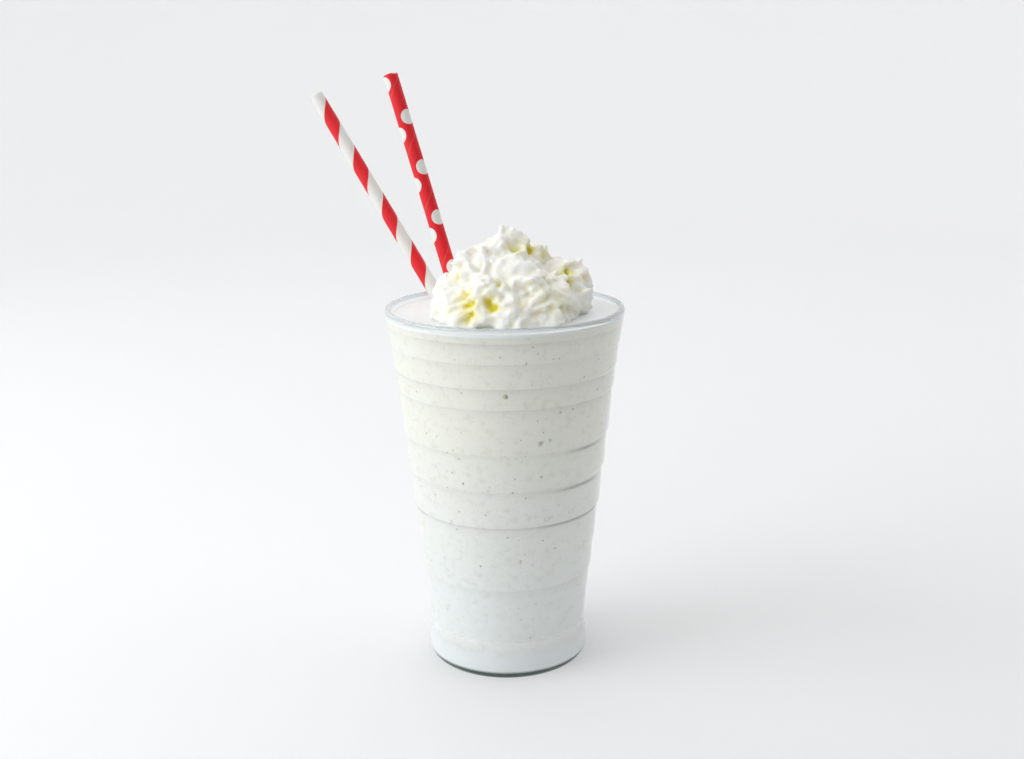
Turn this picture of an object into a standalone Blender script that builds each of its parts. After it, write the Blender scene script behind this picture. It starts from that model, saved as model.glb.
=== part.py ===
"""Vanilla milkshake in a stepped, tapered glass, with whipped cream and two paper straws.

Metres, +Z up. The origin is the centre of the glass's foot, on the table. Seen from the front
(looking along +Y), +X is to the right and both straws lean to the left.
"""

from math import cos, pi, sin, sqrt

import bmesh
import bpy
from mathutils import Vector, noise

MM = 0.001
GAP = 0.3 * MM
TURN_STEPS = 64
MERGE_DISTANCE = 0.005 * MM

# Glass: a tapered tumbler with a waisted heel, shallow steps and a flared lip
GLASS_HEIGHT = 151.0 * MM
RIM_RADIUS = 49.0 * MM
FOOT_RADIUS = 29.5 * MM
HEEL_RADIUS = 33.8 * MM
HEEL_HEIGHT = 5.0 * MM
HEEL_TOP_RADIUS = 33.4 * MM
HEEL_TOP_HEIGHT = 10.0 * MM
WAIST_RADIUS = 32.6 * MM
WAIST_HEIGHT = 16.0 * MM
TAPER = 0.1165
FLARE_HEIGHT = 132.0 * MM
FLARE_TAPER = 0.175
WALL = 3.0 * MM
LIP_EDGE_RADIUS = 1.3 * MM
LIP_TURN_UNDER = 0.15
STEP_DEPTHS = [14 * MM, 23.7 * MM, 32.1 * MM, 50.7 * MM, 65.8 * MM, 82 * MM, 98 * MM, 110.2 * MM]
STEP_RISE = 0.35 * MM
STEP_HEIGHT = 1.2 * MM
FLOOR_HEIGHT = 10.0 * MM
FLOOR_CORNER = 6.0 * MM

# Milkshake: fills the glass to just under the rim
LEVEL = GLASS_HEIGHT - 2.9 * MM
MENISCUS_WIDTH = 1.6 * MM
MENISCUS_RISE = 0.5 * MM

# Straws: two standard paper straws. Each axis passes the rim's height at a point and ends at a top
STRAW_LENGTH = 197.0 * MM
STRAW_RADIUS = 3.0 * MM
STRAW_WALL = 0.45 * MM
STRAW_END_BEVEL = 0.15 * MM
STRAW_SIDES = 24
STRIPED_RIM_POINT = (-29.9, 30.2, 151.0)
STRIPED_TOP = (-80.5, 51.0, 233.9)
DOTTED_RIM_POINT = (-18.4, 3.8, 151.0)
DOTTED_TOP = (-45.6, 22.0, 242.6)

# Whipped cream: spoonfuls piled on the drink, each a lobe of its own size and place
CREAM_HEART = Vector((2.0, 0.0, 5.0)) * MM
CREAM_SHARPNESS = 16
CREAM_ROUNDS = 5
CRAG_SIZE = 8.0 * MM
CRAG_DEPTH = 2.6 * MM
CRAG_OCTAVES = 2
CRAG_CREST = 0.55
CRAG_SLOPE = 2.2
CRAG_SEED = Vector((3.1, 7.7, 1.9))
FLAT_ANGLE = 0.02
CREAM_LOBES = [
    # x, y and height of the middle over the drink, then the radius, in millimetres
    ((0, 0, 8), 20),
    ((1, 1, 23), 7.5),
    ((0, 1, 32), 2.8),
    ((3.5, 1.5, 29.5), 3.2),
    ((7, 2, 27), 4),
    ((13, 3, 19.5), 7),
    ((21, 4, 14), 8),
    ((26.5, 1, 12), 7.5),
    ((26, -2, 4), 8.5),
    ((19, -13, 6), 10),
    ((8, -17, 8), 11),
    ((-6, -19, 7), 11),
    ((3, -24, 1), 11),
    ((15, -22, 0), 10),
    ((-12, -22, 1), 10),
    ((-17, -13, 3), 11),
    ((-18.5, -3, 8), 9.5),
    ((-12.5, -5, 17.5), 8),
    ((-5, -4, 20), 8),
    ((-17, 10, 4), 11),
    ((-4, 17, 7), 13),
    ((12, 17, 6), 12),
    ((24, 12, 2), 10),
]


def clear_scene():
    for found in list(bpy.data.objects):
        bpy.data.objects.remove(found)


def material(name, colour, roughness, transmission=0.0, ior=1.45):
    made = bpy.data.materials.new(name)
    made.use_nodes = True
    shader = made.node_tree.nodes["Principled BSDF"]
    shader.inputs["Base Color"].default_value = (*colour, 1.0)
    shader.inputs["Roughness"].default_value = roughness
    shader.inputs["Metallic"].default_value = 0.0
    shader.inputs["Transmission Weight"].default_value = transmission
    shader.inputs["IOR"].default_value = ior
    made.diffuse_color = (*colour, 1.0)
    return made


def new_object(name, bm, look):
    mesh = bpy.data.meshes.new(name)
    bm.to_mesh(mesh)
    bm.free()
    made = bpy.data.objects.new(name, mesh)
    bpy.context.scene.collection.objects.link(made)
    mesh.materials.append(look)
    return made


def turned(name, profile, look, steps=TURN_STEPS):
    """A solid of revolution. The profile holds (radius, height) points, down the outer side."""
    bm = bmesh.new()
    points = [bm.verts.new((radius, 0.0, height)) for radius, height in profile]
    for first, second in zip(points, points[1:]):
        bm.edges.new((first, second))
    made = new_object(name, bm, look)
    screw = made.modifiers.new("turn", "SCREW")
    screw.axis = "Z"
    screw.steps = steps
    screw.render_steps = steps
    screw.use_merge_vertices = True
    screw.merge_threshold = MERGE_DISTANCE
    screw.use_smooth_shade = True
    return made


def arc(centre, radii, start, end, steps):
    """Points of an elliptical arc in the profile plane, from one angle to another."""
    angles = [start + (end - start) * i / steps for i in range(steps + 1)]
    return [(centre[0] + radii[0] * cos(a), centre[1] + radii[1] * sin(a)) for a in angles]


def taper_radius(height):
    """The glass's outer radius over the waist, without the steps."""
    radius = WAIST_RADIUS + TAPER * (min(height, FLARE_HEIGHT) - WAIST_HEIGHT)
    return radius + FLARE_TAPER * max(0.0, height - FLARE_HEIGHT)


def inner_radius(height):
    return taper_radius(height) - WALL


def outer_wall():
    """The outer side from under the lip to the waist: each step is a small ledge between bands."""
    points = []
    for depth in STEP_DEPTHS:
        height = GLASS_HEIGHT - depth
        above = height + STEP_HEIGHT / 2
        below = height - STEP_HEIGHT / 2
        points.append((taper_radius(above) + STEP_RISE, above))
        points.append((taper_radius(below) - STEP_RISE, below))
    return points


def glass_profile():
    lip_middle = RIM_RADIUS - LIP_EDGE_RADIUS
    lip_inside = inner_radius(GLASS_HEIGHT) + LIP_EDGE_RADIUS
    lip_height = GLASS_HEIGHT - LIP_EDGE_RADIUS
    corner_radius = inner_radius(FLOOR_HEIGHT + FLOOR_CORNER) - FLOOR_CORNER
    corner = (corner_radius, FLOOR_HEIGHT + FLOOR_CORNER)
    edge = (LIP_EDGE_RADIUS, LIP_EDGE_RADIUS)
    heel_round = (HEEL_RADIUS - FOOT_RADIUS, HEEL_HEIGHT)

    profile = [(0.0, FLOOR_HEIGHT)]
    profile += arc(corner, (FLOOR_CORNER, FLOOR_CORNER), -pi / 2, 0.0, steps=5)
    profile += [(inner_radius(FLARE_HEIGHT), FLARE_HEIGHT)]
    profile += arc((lip_inside, lip_height), edge, pi, pi / 2, steps=3)
    profile += arc((lip_middle, lip_height), edge, pi / 2, -LIP_TURN_UNDER, steps=4)
    profile += outer_wall()
    profile += [(WAIST_RADIUS, WAIST_HEIGHT), (HEEL_TOP_RADIUS, HEEL_TOP_HEIGHT)]
    profile += arc((FOOT_RADIUS, HEEL_HEIGHT), heel_round, 0.0, -pi / 2, steps=6)
    profile += [(0.0, 0.0)]
    return profile


def milkshake_profile():
    """The drink stays a gap inside the glass. Its top climbs a little at the wall."""
    top = LEVEL + MENISCUS_RISE
    corner_radius = inner_radius(FLOOR_HEIGHT + FLOOR_CORNER) - FLOOR_CORNER
    corner = (corner_radius, FLOOR_HEIGHT + FLOOR_CORNER)
    reach = (FLOOR_CORNER - GAP, FLOOR_CORNER - GAP)

    profile = [(0.0, LEVEL), (inner_radius(LEVEL) - GAP - MENISCUS_WIDTH, LEVEL)]
    profile += [(inner_radius(top) - GAP, top), (inner_radius(FLARE_HEIGHT) - GAP, FLARE_HEIGHT)]
    profile += arc(corner, reach, 0.0, -pi / 2, steps=5)
    profile += [(0.0, FLOOR_HEIGHT + GAP)]
    return profile


class Straw:
    """A straw's place: its axis passes through a point and ends at the top, in millimetres."""

    def __init__(self, name, through, top):
        self.name = name
        self.top = Vector(top) * MM
        self.direction = (self.top - Vector(through) * MM).normalized()

    def place(self, made):
        made.location = self.top
        made.rotation_mode = "QUATERNION"
        made.rotation_quaternion = self.direction.to_track_quat("Z", "Y")


STRIPED = Straw("straw_striped", STRIPED_RIM_POINT, STRIPED_TOP)
DOTTED = Straw("straw_dotted", DOTTED_RIM_POINT, DOTTED_TOP)


def straw_profile():
    outside = STRAW_RADIUS
    inside = STRAW_RADIUS - STRAW_WALL
    bevel = STRAW_END_BEVEL
    profile = [(inside, -STRAW_LENGTH + bevel), (inside, -bevel), (inside + bevel, 0.0)]
    profile += [(outside - bevel, 0.0), (outside, -bevel), (outside, -STRAW_LENGTH + bevel)]
    profile += [(outside - bevel, -STRAW_LENGTH), (inside + bevel, -STRAW_LENGTH)]
    return profile + profile[:1]


def paper_straw(straw, look):
    made = turned(straw.name, straw_profile(), look, STRAW_SIDES)
    straw.place(made)
    return made


def straw_cutter(straw):
    """A rod a gap wider and longer than the straw, which cuts its way through cream and drink."""
    bm = bmesh.new()
    radius = STRAW_RADIUS + GAP
    length = STRAW_LENGTH + 2 * GAP
    bmesh.ops.create_cone(bm, cap_ends=True, segments=STRAW_SIDES, radius1=radius,
                          radius2=radius, depth=length)
    bmesh.ops.translate(bm, vec=(0, 0, GAP - length / 2), verts=bm.verts)
    made = bpy.data.objects.new("cutter_" + straw.name, bpy.data.meshes.new("cutter"))
    bm.to_mesh(made.data)
    bm.free()
    bpy.context.scene.collection.objects.link(made)
    straw.place(made)
    made.hide_render = True
    made.display_type = "WIRE"
    return made


def cut(made, cutter):
    boolean = made.modifiers.new("cut_" + cutter.name, "BOOLEAN")
    boolean.operation = "DIFFERENCE"
    boolean.solver = "EXACT"
    boolean.object = cutter


def ray_reach(direction, middle, radius):
    """How far a ray from the cream's heart runs before it leaves a lobe, or 0 if it misses."""
    along = direction.dot(middle)
    inside = radius * radius - middle.length_squared + along * along
    return max(0.0, along + sqrt(inside)) if inside > 0 else 0.0


def crag(point):
    """Ridged noise, from about -1 in a pit to 1 on a crest."""
    total = 0.0
    size, weight = CRAG_SIZE, 1.0
    for _ in range(CRAG_OCTAVES):
        total += weight * (CRAG_CREST - CRAG_SLOPE * abs(noise.noise(point / size + CRAG_SEED)))
        size, weight = size / 2, weight / 2
    return total


def cream_point(direction):
    """The cream's surface in one direction from its heart, in the drink surface's frame."""
    total = 0.0
    for middle, radius in CREAM_LOBES:
        reach = ray_reach(direction, Vector(middle) * MM - CREAM_HEART, radius * MM)
        total += (reach / MM) ** CREAM_SHARPNESS
    reach = total ** (1 / CREAM_SHARPNESS) * MM
    reach += CRAG_DEPTH * crag(CREAM_HEART + direction * reach)
    if direction.z < 0:
        reach = min(reach, (GAP - CREAM_HEART.z) / direction.z)
    return CREAM_HEART + direction * reach


def whipped_cream(look):
    bm = bmesh.new()
    bmesh.ops.create_icosphere(bm, subdivisions=CREAM_ROUNDS, radius=1.0)
    for vert in bm.verts:
        vert.co = cream_point(vert.co.normalized())
    bmesh.ops.dissolve_limit(bm, angle_limit=FLAT_ANGLE, verts=bm.verts, edges=bm.edges)
    bmesh.ops.triangulate(bm, faces=bm.faces)
    bm.normal_update()
    made = new_object("whipped_cream", bm, look)
    made.location.z = LEVEL
    made.data.shade_smooth()
    return made


def main():
    clear_scene()
    clear_glass = material("clear_glass", (0.93, 0.96, 0.95), 0.02, transmission=1.0, ior=1.5)
    shake = material("vanilla_milkshake", (0.86, 0.85, 0.80), 0.35)
    cream = material("whipped_cream", (0.95, 0.93, 0.84), 0.55)
    stripes = material("striped_paper", (0.80, 0.10, 0.12), 0.6)
    dots = material("dotted_paper", (0.80, 0.05, 0.08), 0.6)

    turned("glass", glass_profile(), clear_glass)
    drink = turned("milkshake", milkshake_profile(), shake)
    dollop = whipped_cream(cream)
    for straw, look in ((STRIPED, stripes), (DOTTED, dots)):
        paper_straw(straw, look)
        cutter = straw_cutter(straw)
        cut(drink, cutter)
        cut(dollop, cutter)


main()
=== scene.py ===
"""Looks of a vanilla milkshake in its glass, with whipped cream and two paper straws.

Metres, +Z up, in the part's own frame: the origin is the centre of the glass's foot. An angle
round the glass is 0 at the front (-Y) and grows to the right, as the camera sees it.
"""

from math import cos, pi, radians, sin, sqrt

import bmesh
import bpy
import numpy as np
from mathutils import Matrix, Vector, noise


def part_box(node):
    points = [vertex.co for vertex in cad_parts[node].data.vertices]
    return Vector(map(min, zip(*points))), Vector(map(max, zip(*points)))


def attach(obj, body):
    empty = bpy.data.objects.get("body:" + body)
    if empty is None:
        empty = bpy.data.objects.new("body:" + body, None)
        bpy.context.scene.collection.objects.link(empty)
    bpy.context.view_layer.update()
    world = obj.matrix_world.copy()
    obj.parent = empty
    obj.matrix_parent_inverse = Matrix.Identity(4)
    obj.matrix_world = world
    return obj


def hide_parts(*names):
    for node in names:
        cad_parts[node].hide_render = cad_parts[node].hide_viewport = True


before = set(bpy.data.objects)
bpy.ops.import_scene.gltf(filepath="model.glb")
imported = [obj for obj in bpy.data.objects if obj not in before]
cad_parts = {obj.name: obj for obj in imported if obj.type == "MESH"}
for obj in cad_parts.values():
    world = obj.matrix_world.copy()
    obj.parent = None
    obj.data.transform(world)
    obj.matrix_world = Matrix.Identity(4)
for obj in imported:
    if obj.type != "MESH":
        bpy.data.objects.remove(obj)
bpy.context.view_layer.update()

MM = 0.001
ON_AXIS = 1e-7
TINY = 0.01 * MM

# Glass, as in the part
GLASS_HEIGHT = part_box("glass")[1].z
RIM_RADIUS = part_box("glass")[1].x
FOOT_RADIUS = 29.5 * MM
HEEL_RADIUS = 33.8 * MM
HEEL_HEIGHT = 5.0 * MM
HEEL_TOP_RADIUS = 33.4 * MM
HEEL_TOP_HEIGHT = 10.0 * MM
WAIST_RADIUS = 32.6 * MM
WAIST_HEIGHT = 16.0 * MM
WAIST_TOP_HEIGHT = 22.0 * MM
HEEL_TOP_SLOPE = -0.24
TAPER = 0.1165
FLARE_HEIGHT = 132.0 * MM
FLARE_TAPER = 0.175
WALL = 3.0 * MM
LIP_EDGE_RADIUS = 1.3 * MM
LIP_TURN_UNDER = 0.15
STEPS = [
    # depth below the rim, then how far the side stands out above it and in below it, in millimetres
    (14, 0.14), (23.7, 0.26), (32.1, 0.28), (50.7, 0.34), (65.8, 0.36), (82, 0.40), (98, 0.20), (110.2, 0.28),
]
STEP_HEIGHT = 1.2 * MM
STEP_POINTS = 8
FLOOR_HEIGHT = 10.0 * MM
FLOOR_CORNER = 6.0 * MM
CORNER_TOP = FLOOR_HEIGHT + FLOOR_CORNER
CORNER_STEPS = 12
STOP_GAP = 0.5 * MM
GLASS_SEGMENTS = 224

# How the glass looks by height, where each part starts, then where it is full: the milky base with painted
# drink tones and bluish painted light, a faint haze over it, the lip with painted grey-blue shade, and the
# painted dark shade line at the foot
PAINTED_BASE = (17.4 * MM, 15.8 * MM)
PAINTED_HAZE = (26.0 * MM, 17.0 * MM)
HAZE_SHARE = 0.12
BASE_CLARITY = 0.12
PAINTED_LIP = (GLASS_HEIGHT - 2.4 * MM, GLASS_HEIGHT - 0.8 * MM)
LIP_CLARITY = 0.8
FOOT_SHADE_SPAN = (4.6 * MM, 3.0 * MM)
BLUE_BASE_LIGHT = (14.0 * MM, 7.0 * MM)
GLASS_CLEAR = (0.985, 0.995, 0.99)
GLASS_TINT = (0.70, 0.84, 0.86, 1.0)
TINT_DENSITY = 9.0
BASE_LIGHT_TONE = (0.88, 0.92, 0.925)
LIP_SHADE_TONE = (0.66, 0.71, 0.75)
FOOT_SHADE_TONE = (0.045, 0.07, 0.06)

# Drink
LEVEL = GLASS_HEIGHT - 2.9 * MM
MENISCUS_WIDTH = 1.6 * MM
MENISCUS_RISE = 0.5 * MM
INTO_WALL = 0.08 * MM
DRINK_SEGMENTS = 300
DRINK_ROW = 1.5 * MM
TOP_RINGS = 26
# Ripples on top: size, height and a shift that tells them apart
RIPPLES = [(9.0 * MM, 0.35 * MM, 0.0), (2.6 * MM, 0.10 * MM, 5.0 * MM)]
LINE_ROW = 0.24 * MM
LINE_ROWS = 8
LINE_REACH = LINE_ROWS * LINE_ROW
LINE_WIDTH = 0.66 * MM
LINE_DEPTH = 0.07 * MM
LINE_FADE = 20.0
LINE_WANDER = 0.12 * MM
LINE_WANDER_ANGLE = 14.0
# Painted dark lines on the drink at the steps, for the dark refraction there, over a shallow groove: height,
# then (from, to, strength) by angle
PAINTED_WALL_LINES = [
    (117.9 * MM, [(100, 150, 0.25)]),
    (97.8 * MM, [(-180, 180, 0.03), (43, 63, 0.54), (-170, -120, 0.4)]),
    (82.1 * MM, [(-180, 180, 0.03), (35, 67, 0.52), (140, 175, 0.4)]),
    (67.5 * MM, [(-180, 180, 0.09), (24, 104, 0.52), (-125, -64, 0.5), (150, 200, 0.45)]),
]
# Soft shade on the drink below each step: the height where it starts, then its strength
WALL_SHADES = [
    (148.6 * MM, 0.20),
    (144.6 * MM, 0.17),
    (136.6 * MM, 0.14),
    (126.5 * MM, 0.20),
    (117.9 * MM, 0.19),
    (98.9 * MM, 0.12),
    (83.3 * MM, 0.10),
    (67.7 * MM, 0.11),
    (39.6 * MM, 0.11),
]
SHADE_FALL = 2.0 * MM
SHADE_START = 0.5 * MM
SHADE_PATCH = 25.0 * MM
# Heights between which the drink turns from warm to cool, then its colours
COOLING = (118.0 * MM, 22.0 * MM)
MILK_WARM = (0.875, 0.865, 0.785)
MILK_COOL = (0.84, 0.87, 0.855)
MILK_CLOUD = (0.80, 0.81, 0.76)
MILK_GRAIN = (0.62, 0.61, 0.52)
MILK_MOTTLE = (0.60, 0.59, 0.48)
MILK_PIT_SHADE = (0.52, 0.52, 0.45)
MILK_SHADE = (0.05, 0.05, 0.03)
MILK_PAINTED_LINE = (0.085, 0.10, 0.085)
MILK_TOP_LIGHT = (0.87, 0.90, 0.885)

# Straws, as in the part: each axis runs through a point at the rim's height to its top, in millimetres
STRAW_LENGTH = 197.0 * MM
STRAW_RADIUS = 3.0 * MM
STRAW_WALL = 0.45 * MM
STRAW_BEVEL = 0.15 * MM
STRAW_SEGMENTS = 64
STRAW_ROW = 1.0 * MM
STRIPED_RIM_POINT = (-29.9, 30.2, 151.0)
STRIPED_TOP = (-80.5, 51.0, 233.9)
DOTTED_RIM_POINT = (-18.4, 3.8, 151.0)
DOTTED_TOP = (-45.6, 22.0, 242.6)
STRIPE_PITCH = 23.85 * MM
STRIPE_SHARE = 0.50
STRIPE_EDGE = 0.006
STRIPE_START = 13.8 * MM
DOT_PITCH = 21.2 * MM
DOT_RADIUS = 3.15 * MM
DOT_EDGE = 0.1 * MM
# Each column of dots: degrees from the side that faces the camera, then the depth of one dot
DOT_COLUMNS = [(42, 18.6 * MM), (-78, 3.7 * MM), (162, 11.2 * MM)]
# The wound edge, whose width and shifts are shares of a turn
SEAM_DEPTH = 0.05 * MM
SEAM_SHARE = 0.12
SEAM_SHIFT = 0.24
SEAM_LINE_SHIFT = 0.26
SEAM_LINE = (0.488, 0.5)
PRINT_SKIN = (0.32 * MM, 0.26 * MM)
STRIPE_RED = (0.80, 0.016, 0.026)
DOT_RED = (0.80, 0.014, 0.024)
INK_SHADE = 0.82
INK_WORN = (0.82, 0.20, 0.20)
PAPER_PALE = (0.83, 0.82, 0.78)
PAPER_FIBRE = (0.70, 0.69, 0.64)
SEAM_TONE = (0.45, 0.36, 0.33)

# Whipped cream, as in the part: lobes over the drink, then finer crags
CREAM_HEART = Vector((2.0, 0.0, 5.0)) * MM
CREAM_SHARPNESS = 16
CREAM_ROUNDS = 7
CREAM_SINK = 1.5 * MM
CRAG_SIZE = 8.0 * MM
CRAG_DEPTH = 2.6 * MM
CRAG_OCTAVES = 2
CRAG_CREST = 0.55
CRAG_SLOPE = 2.2
CRAG_SEED = Vector((3.1, 7.7, 1.9))
CREAM_LOBES = [
    # x, y and height of the middle over the drink, then the radius, in millimetres
    ((0, 0, 8), 20),
    ((1, 1, 23), 7.5),
    ((0, 1, 31.3), 2.2),
    ((3.5, 1.5, 29.5), 3.2),
    ((7, 2, 27), 4),
    ((13, 3, 19.5), 7),
    ((21, 4, 14), 8),
    ((26.5, 1, 12), 7.5),
    ((26, -2, 4), 8.5),
    ((19, -13, 6), 10),
    ((8, -17, 8), 11),
    ((-6, -19, 7), 11),
    ((3, -24, 1), 11),
    ((15, -22, 0), 10),
    ((-12, -22, 1), 10),
    ((-17, -13, 3), 11),
    ((-18.5, -3, 8), 9.5),
    ((-12.5, -5, 17.5), 8),
    ((-5, -4, 20), 8),
    ((-17, 10, 4), 11),
    ((-4, 17, 7), 13),
    ((12, 17, 6), 12),
    ((24, 12, 2), 10),
]
CREAM_HOLLOWS = [
    # place over the drink, radius and depth in millimetres, then how strong its painted yellow shade is
    ((-15.4, -30.0, 8.3), 3.0, 5.6, 1.0),
    ((-14.6, -32.0, 5.2), 3.0, 5.4, 1.0),
    ((-16.3, -25.2, 11.4), 2.7, 4.4, 0.8),
    ((-6.6, -31.1, 10.0), 2.7, 4.2, 0.8),
    ((-5.0, -31.7, 7.9), 2.4, 3.8, 0.95),
    ((-22.2, -26.1, 4.5), 1.6, 1.5, 0.4),
    ((-18.7, -10.7, 17.6), 1.6, 1.8, 0.55),
    ((-2.3, -24.8, 15.9), 2.2, 2.4, 0.4),
    ((4.8, -5.5, 27.4), 2.6, 2.6, 0.75),
    ((10.5, -0.3, 27.4), 2.4, 2.4, 0.95),
    ((16.6, 1.2, 24.3), 2.2, 2.0, 0.75),
    ((13.5, -10.7, 18.1), 2.2, 2.4, 0.5),
    ((7.2, -30.9, 9.4), 2.2, 2.0, 0.3),
    ((28.1, -3.4, 17.6), 2.4, 5.5, 1.0),
    ((27.6, -6.9, 14.2), 2.2, 5.5, 1.0),
    ((26.6, -11.0, 11.0), 2.0, 5.2, 0.95),
    ((25.0, -15.0, 7.6), 2.0, 4.8, 0.9),
    ((32.6, -2.3, 15.3), 1.6, 1.4, 0.5),
    # the last has no depth: only painted yellow shade on the shadowed fold in front
    ((19.0, -24.5, 9.0), 6.5, 0.0, 0.24),
]
# Hollows round the back: half turns, rise in radians, then radius and depth in millimetres
BACK_HOLLOWS = 16
BACK_TURN = (0.05, 0.95)
BACK_RISE = (0.1, 1.2)
BACK_RADII = (1.6, 2.6)
BACK_DEPTHS = (1.6, 3.0)
# strength of the painted yellow shade in the back hollows
BACK_YELLOW = (0.2, 0.7)
CREAM_RIDGES = [
    # chains of (x, y, height over the drink, radius) in millimetres: the curled peak, lobes, a fold's edge
    [(-1.5, 0, 28, 2.6), (-1.0, 0.4, 32.0, 1.7), (-0.6, 0.4, 35.3, 0.95)],
    [(0.2, 0.5, 33.4, 0.9), (3.2, 0, 32.0, 1.0), (6.5, -0.5, 30.6, 1.1), (9.8, -0.5, 28.6, 1.6)],
    [(2.5, -11.5, 16.5, 7.6), (8.0, -13.0, 16.0, 7.2)],
    [(-9, -8, 20.5, 5.0), (-7, -8.5, 21.5, 4.6)],
    [(14.5, -25.6, 11.5, 1.9), (11, -28.5, 8.5, 1.7), (7.5, -31.2, 5, 1.5), (4.5, -33.0, 2, 1.5)],
]
CALM_ZONES = [
    # middle and size of the smooth parts, in millimetres: the fold in front and the round lobe
    ((19.0, -23.0, 10.0), 7.5),
    ((5.5, -17.0, 18.0), 7.0),
    ((-9.0, -12.0, 21.0), 4.5),
]
CALM_SHARE = 0.75
RIDGE_BALLS = 8
# Curds and flakes: how many, their radii, second and third stretch, and how many radii they are sunk
CURDS = 64
CURD_RADII = (1.8 * MM, 5.4 * MM)
CURD_SHAPE = ((0.6, 0.9), (0.5, 0.8))
CURD_SINK = 0.3
FLAKES = 60
FLAKE_RADII = (2.2 * MM, 4.6 * MM)
FLAKE_SHAPE = ((0.5, 0.8), (0.22, 0.34))
FLAKE_SINK = 0.35
FLAKE_TILT = 0.45
LUMP_LOW = 0.8 * MM
LUMP_HIGH = 29.0 * MM
LUMP_CLEARANCE = 0.7
BALL_WARP = 0.35
BALL_WARP_SCALE = 1.3
CREAM_VOXEL = 0.42 * MM
FINE_CRAGS = [(4.4 * MM, 0.42 * MM), (2.0 * MM, 0.12 * MM)]
FINE_CREST = 0.4
FINE_SLOPE = 1.8
FINE_SEED = 9000
CREAM_SMOOTHING = 3
CREASE_ROUNDS = 14
CREASE_FULL = 0.55 * MM
# Where the painted yellow shade sits in each hollow, and how far it spreads
YELLOW_SINK = 0.6
YELLOW_SPREAD = 1.35
CREAM_PALE = (0.965, 0.955, 0.90)
CREAM_WARM = (0.95, 0.93, 0.84)
CREAM_CREASE_SHADE = (0.93, 0.88, 0.64)
CREAM_HOLLOW_SHADE = (0.80, 0.70, 0.045)

# Vanilla specks, and rings of painted shade for bubbles at the wall
SPECKS = 620
SPECK_SIZES = (0.14 * MM, 0.55 * MM)
SPECK_HEIGHTS = (14.0 * MM, 146.0 * MM)
SPECK_STRETCH = (0.55, 1.0)
SPECK_THICKNESS = 0.12 * MM
SPECK_DARK = (0.47, 0.45, 0.34)
SPECK_PALE = (0.64, 0.63, 0.55)
BIG_SPECKS = [
    # angle, height and size in degrees and millimetres
    (0.0, 124.0, 1.5), (19.6, 104.0, 1.25), (24.7, 104.6, 0.9), (-25.6, 86.5, 0.7), (-10.6, 84.5, 0.6),
    (3.8, 83.5, 0.5), (20.6, 89.5, 0.75), (38.3, 116.0, 0.65), (30.3, 115.5, 0.6), (8.7, 53.5, 0.7),
    (32.7, 57.0, 0.6), (-22.8, 124.5, 0.5), (10.3, 137.0, 0.6), (24.0, 138.0, 0.45), (44.0, 128.5, 0.5),
]
BUBBLES = [
    # angle, height and radius in degrees and millimetres
    (25.2, 70.8, 0.9), (28.6, 71.3, 0.6), (19.0, 103.2, 0.6),
    (152.0, 86.0, 0.9), (-140.0, 101.5, 0.8), (171.0, 70.2, 0.7), (-75.0, 120.4, 0.6), (95.0, 54.0, 0.7),
]
BUBBLE_WIRE = 0.11 * MM
BUBBLE_STEPS = 28
WIRE_STEPS = 6
BUBBLE_SHADE_DARK = (0.48, 0.50, 0.45)
BUBBLE_SHADE_PALE = (0.62, 0.63, 0.58)

# Camera, as fitted to the photograph
CAMERA_PLACE = (0.00273, -0.510, 0.2478)
CAMERA_DOWN = 14.11
CAMERA_ROLL = 0.55
CAMERA_LENS = 44.65
CAMERA_SENSOR = 36.0

# Studio
BOWL_FLOOR_RADIUS = 1.3
BOWL_CURVE = 0.8
BOWL_HEIGHT = 1.5
BOWL_SEGMENTS = 128
FLOOR_DROP = 0.05 * MM
FLOOR_COLOUR = (0.90, 0.90, 0.897)
FLOOR_CLOUD = 0.985
WORLD_COLOUR = (0.985, 0.985, 1.0)
WORLD_STRENGTH = 1.03
KEY_PLACE = (-1.05, -0.30, 0.75)
KEY_SIZE = 0.9
KEY_POWER = 6.2
KEY_COLOUR = (0.93, 0.97, 1.0)
FLAG_PLACE = (0.35, -0.46, 0.44)
FLAG_SIZE = (0.84, 0.74)
FLAG_COLOUR = (0.05, 0.05, 0.055)
AIM = Vector((0.0, 0.0, 0.11))


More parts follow.
